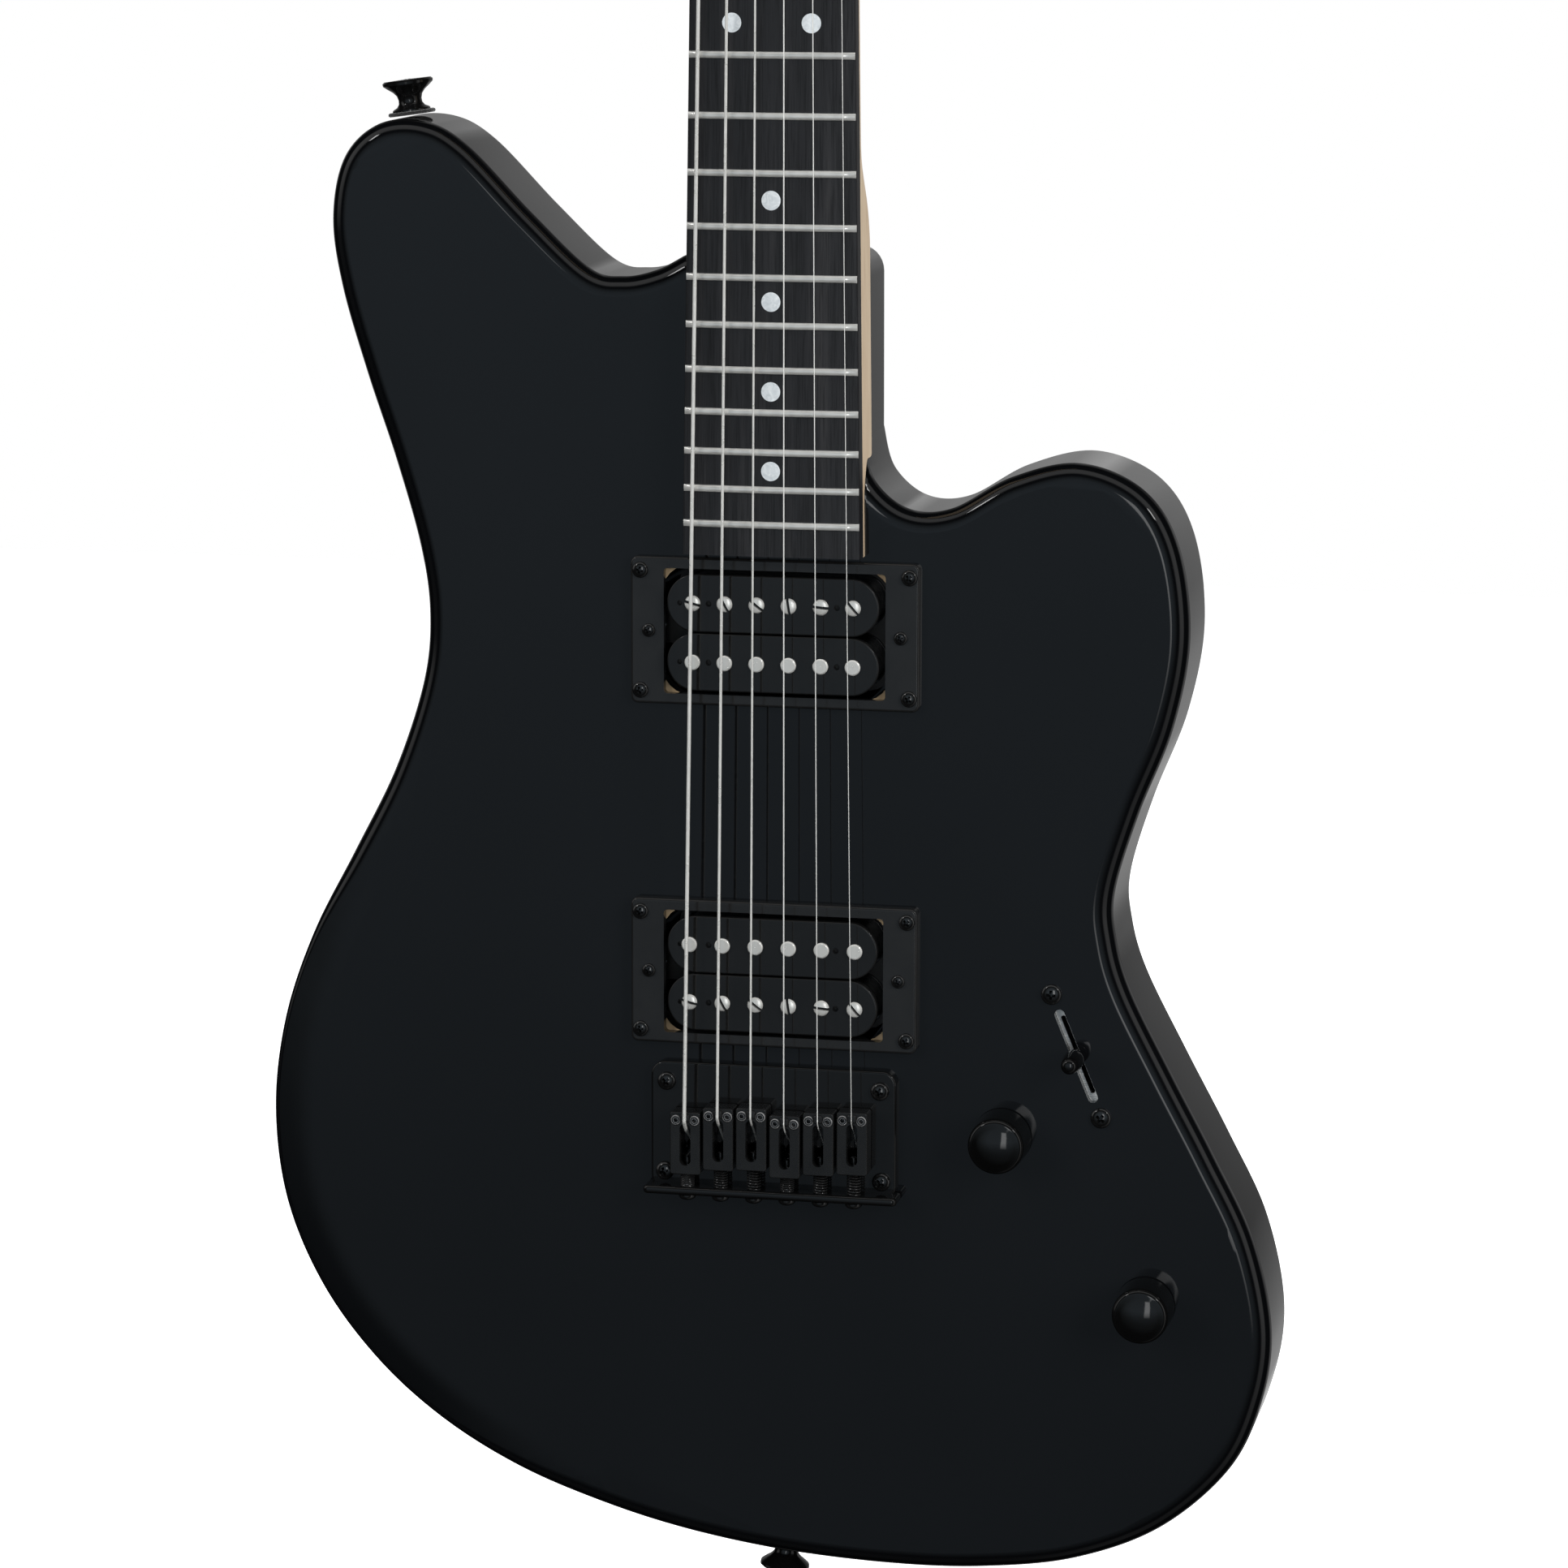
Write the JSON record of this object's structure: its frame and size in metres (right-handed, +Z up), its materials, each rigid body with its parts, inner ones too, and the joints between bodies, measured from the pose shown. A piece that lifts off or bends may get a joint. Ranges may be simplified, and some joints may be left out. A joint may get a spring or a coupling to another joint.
{
  "type": "electric guitar",
  "caption": "Solid-body electric guitar with a bolt-on neck, humbucking pickups, a fixed bridge with separate saddles, two knobs, a blade selector and in-line tuners.",
  "frame": {"origin": "on the centre line at the nut, level with the front face of the body, where a wall hanger's yoke holds the neck below the headstock", "axes": "+Z up along the neck from body to headstock, +Y from the front face to the back, +X to the right seen from the front"},
  "size_m": [0.3198, 0.0638, 1.0022],
  "materials": {
    "body_lacquer": "gloss black lacquer over solid wood",
    "maple": "satin clear coat",
    "fretboard_wood": "oiled black wood with nickel frets",
    "nut_graphite": "smooth",
    "steel": "nickel plated",
    "satin_plastic": "satin moulded",
    "black_metal": "gloss black plated",
    "gloss_knob": "polished",
    "brass": "turned",
    "string_steel": "nickel wound and plain steel"
  },
  "bodies": {
    "root": {"body": "body_lacquer", "neck": "maple", "fretboard": "fretboard_wood", "nut": "nut_graphite", "truss_rod": "steel", "truss_rod_cover": "satin_plastic", "neck_plate": "black_metal", "control_cover": "satin_plastic", "volume_pot": "steel", "tone_pot": "steel", "switch_frame": "steel", "output_jack": "steel", "jack_plate": "black_metal", "strap_button_upper": "black_metal", "strap_button_lower": "black_metal", "neck_pickup_ring": "satin_plastic", "bridge_pickup_ring": "satin_plastic", "bridge_plate": "black_metal", "string_1": "string_steel", "string_2": "string_steel", "string_3": "string_steel", "string_4": "string_steel", "string_5": "string_steel", "string_6": "string_steel", "tuner_1_housing": "black_metal", "tuner_2_housing": "black_metal", "tuner_3_housing": "black_metal", "tuner_4_housing": "black_metal", "tuner_5_housing": "black_metal", "tuner_6_housing": "black_metal"},
    "volume_control": {"volume_knob": "gloss_knob", "volume_shaft": "brass"},
    "tone_control": {"tone_knob": "gloss_knob", "tone_shaft": "brass"},
    "pickup_selector": {"switch_lever": "steel", "switch_tip": "gloss_knob"},
    "neck_pickup": {"neck_pickup_base": "steel", "neck_pickup_upper_bobbin": "satin_plastic", "neck_pickup_lower_bobbin": "satin_plastic"},
    "bridge_pickup": {"bridge_pickup_base": "steel", "bridge_pickup_upper_bobbin": "satin_plastic", "bridge_pickup_lower_bobbin": "satin_plastic"},
    "saddle_1": {"saddle_1": "black_metal"},
    "saddle_2": {"saddle_2": "black_metal"},
    "saddle_3": {"saddle_3": "black_metal"},
    "saddle_4": {"saddle_4": "black_metal"},
    "saddle_5": {"saddle_5": "black_metal"},
    "saddle_6": {"saddle_6": "black_metal"},
    "tuner_1_post": {"tuner_1_post": "black_metal"},
    "tuner_1_button": {"tuner_1_button": "black_metal"},
    "tuner_2_post": {"tuner_2_post": "black_metal"},
    "tuner_2_button": {"tuner_2_button": "black_metal"},
    "tuner_3_post": {"tuner_3_post": "black_metal"},
    "tuner_3_button": {"tuner_3_button": "black_metal"},
    "tuner_4_post": {"tuner_4_post": "black_metal"},
    "tuner_4_button": {"tuner_4_button": "black_metal"},
    "tuner_5_post": {"tuner_5_post": "black_metal"},
    "tuner_5_button": {"tuner_5_button": "black_metal"},
    "tuner_6_post": {"tuner_6_post": "black_metal"},
    "tuner_6_button": {"tuner_6_button": "black_metal"}
  },
  "joints": [
    {"name": "volume_turn", "type": "hinge", "parent": "root", "child": "volume_control", "pos_m": [0.072, 0, -0.6557], "axis": [0, 1, 0], "range_deg": [-270, 0]},
    {"name": "tone_turn", "type": "hinge", "parent": "root", "child": "tone_control", "pos_m": [0.1174, 0, -0.7069], "axis": [0, 1, 0], "range_deg": [-270, 0]},
    {"name": "selector_tilt", "type": "hinge", "parent": "root", "child": "pickup_selector", "pos_m": [0.0948, 0.019, -0.6289], "axis": [0.9239, 0, 0.3827], "range_deg": [-25, 25]},
    {"name": "neck_pickup_height", "type": "slide", "parent": "root", "child": "neck_pickup", "axis": [0, -1, 0], "range_m": [-0.004, 0.0025]},
    {"name": "bridge_pickup_height", "type": "slide", "parent": "root", "child": "bridge_pickup", "axis": [0, -1, 0], "range_m": [-0.004, 0.0025]},
    {"name": "saddle_1_intonation", "type": "slide", "parent": "root", "child": "saddle_1", "axis": [0, 0, 1], "range_m": [-0.0025, 0.0025]},
    {"name": "saddle_2_intonation", "type": "slide", "parent": "root", "child": "saddle_2", "axis": [0, 0, 1], "range_m": [-0.0025, 0.0025]},
    {"name": "saddle_3_intonation", "type": "slide", "parent": "root", "child": "saddle_3", "axis": [0, 0, 1], "range_m": [-0.0025, 0.0025]},
    {"name": "saddle_4_intonation", "type": "slide", "parent": "root", "child": "saddle_4", "axis": [0, 0, 1], "range_m": [-0.0025, 0.0025]},
    {"name": "saddle_5_intonation", "type": "slide", "parent": "root", "child": "saddle_5", "axis": [0, 0, 1], "range_m": [-0.0025, 0.0025]},
    {"name": "saddle_6_intonation", "type": "slide", "parent": "root", "child": "saddle_6", "axis": [0, 0, 1], "range_m": [-0.0025, 0.0025]},
    {"name": "tuner_1_button_turn", "type": "hinge", "parent": "root", "child": "tuner_1_button", "pos_m": [-0.01921, 0.0231, 0.04401], "axis": [-0.966, 0.0404, 0.2552], "continuous": true},
    {"name": "tuner_1_post_turn", "type": "hinge", "parent": "root", "child": "tuner_1_post", "pos_m": [-0.0212, 0.00396, 0.03951], "axis": [0, -0.9877, 0.1564], "continuous": true},
    {"name": "tuner_2_button_turn", "type": "hinge", "parent": "root", "child": "tuner_2_button", "pos_m": [-0.01196, 0.02701, 0.0687], "axis": [-0.966, 0.0404, 0.2552], "continuous": true},
    {"name": "tuner_2_post_turn", "type": "hinge", "parent": "root", "child": "tuner_2_post", "pos_m": [-0.01395, 0.00787, 0.0642], "axis": [0, -0.9877, 0.1564], "continuous": true},
    {"name": "tuner_3_button_turn", "type": "hinge", "parent": "root", "child": "tuner_3_button", "pos_m": [-0.00497, 0.03092, 0.09339], "axis": [-0.966, 0.0404, 0.2552], "continuous": true},
    {"name": "tuner_3_post_turn", "type": "hinge", "parent": "root", "child": "tuner_3_post", "pos_m": [-0.00696, 0.01178, 0.08889], "axis": [0, -0.9877, 0.1564], "continuous": true},
    {"name": "tuner_4_button_turn", "type": "hinge", "parent": "root", "child": "tuner_4_button", "pos_m": [0.00174, 0.03483, 0.11808], "axis": [-0.966, 0.0404, 0.2552], "continuous": true},
    {"name": "tuner_4_post_turn", "type": "hinge", "parent": "root", "child": "tuner_4_post", "pos_m": [-0.00025, 0.01569, 0.11358], "axis": [0, -0.9877, 0.1564], "continuous": true},
    {"name": "tuner_5_button_turn", "type": "hinge", "parent": "root", "child": "tuner_5_button", "pos_m": [0.00812, 0.03874, 0.14278], "axis": [-0.966, 0.0404, 0.2552], "continuous": true},
    {"name": "tuner_5_post_turn", "type": "hinge", "parent": "root", "child": "tuner_5_post", "pos_m": [0.00613, 0.0196, 0.13828], "axis": [0, -0.9877, 0.1564], "continuous": true},
    {"name": "tuner_6_button_turn", "type": "hinge", "parent": "root", "child": "tuner_6_button", "pos_m": [0.01422, 0.04265, 0.16747], "axis": [-0.966, 0.0404, 0.2552], "continuous": true},
    {"name": "tuner_6_post_turn", "type": "hinge", "parent": "root", "child": "tuner_6_post", "pos_m": [0.01223, 0.02351, 0.16297], "axis": [0, -0.9877, 0.1564], "continuous": true}
  ],
  "couplings": [
    {"joint": "tuner_1_post_turn", "follows": "tuner_1_button_turn", "ratio": 0.066667},
    {"joint": "tuner_2_post_turn", "follows": "tuner_2_button_turn", "ratio": 0.066667},
    {"joint": "tuner_3_post_turn", "follows": "tuner_3_button_turn", "ratio": 0.066667},
    {"joint": "tuner_4_post_turn", "follows": "tuner_4_button_turn", "ratio": 0.066667},
    {"joint": "tuner_5_post_turn", "follows": "tuner_5_button_turn", "ratio": 0.066667},
    {"joint": "tuner_6_post_turn", "follows": "tuner_6_button_turn", "ratio": 0.066667}
  ]
}
